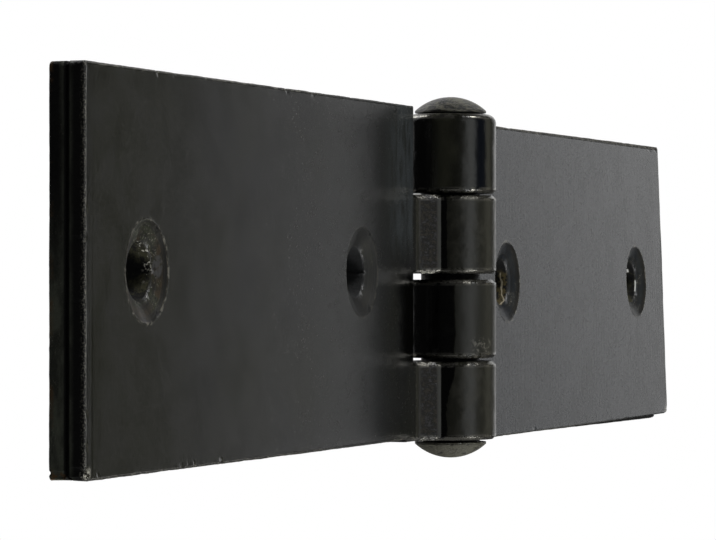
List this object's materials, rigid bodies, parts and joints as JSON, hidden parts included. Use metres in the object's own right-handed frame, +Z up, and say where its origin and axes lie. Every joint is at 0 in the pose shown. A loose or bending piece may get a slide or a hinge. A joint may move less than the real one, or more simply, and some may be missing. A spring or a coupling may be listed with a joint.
{
  "type": "gate hinge",
  "caption": "Pressed steel gate hinge: two long folded leaves with countersunk screw holes, swinging on a riveted pin with domed heads.",
  "frame": {"origin": "on the pin's axis, at the middle of the barrel", "axes": "+X towards the gate leaf and -X towards the post leaf, lying open flat; -Y towards the front, where the screws go in; +Y towards the gate and post; +Z up along the pin"},
  "size_m": [0.2541, 0.014, 0.0552],
  "materials": {
    "leaf_paint": "worn black paint, satin on the leaves and glossier on the knuckles",
    "pin_paint": "thin dull black paint over hammered steel"
  },
  "bodies": {
    "post_side": {"post_leaf": "leaf_paint", "hinge_pin": "pin_paint"},
    "gate_side": {"gate_leaf": "leaf_paint"}
  },
  "joints": [
    {"name": "leaf_swing", "type": "hinge", "parent": "post_side", "child": "gate_side", "pos_m": [0, 0, 0], "axis": [0, 0, -1], "range_deg": [-115, 180]}
  ]
}
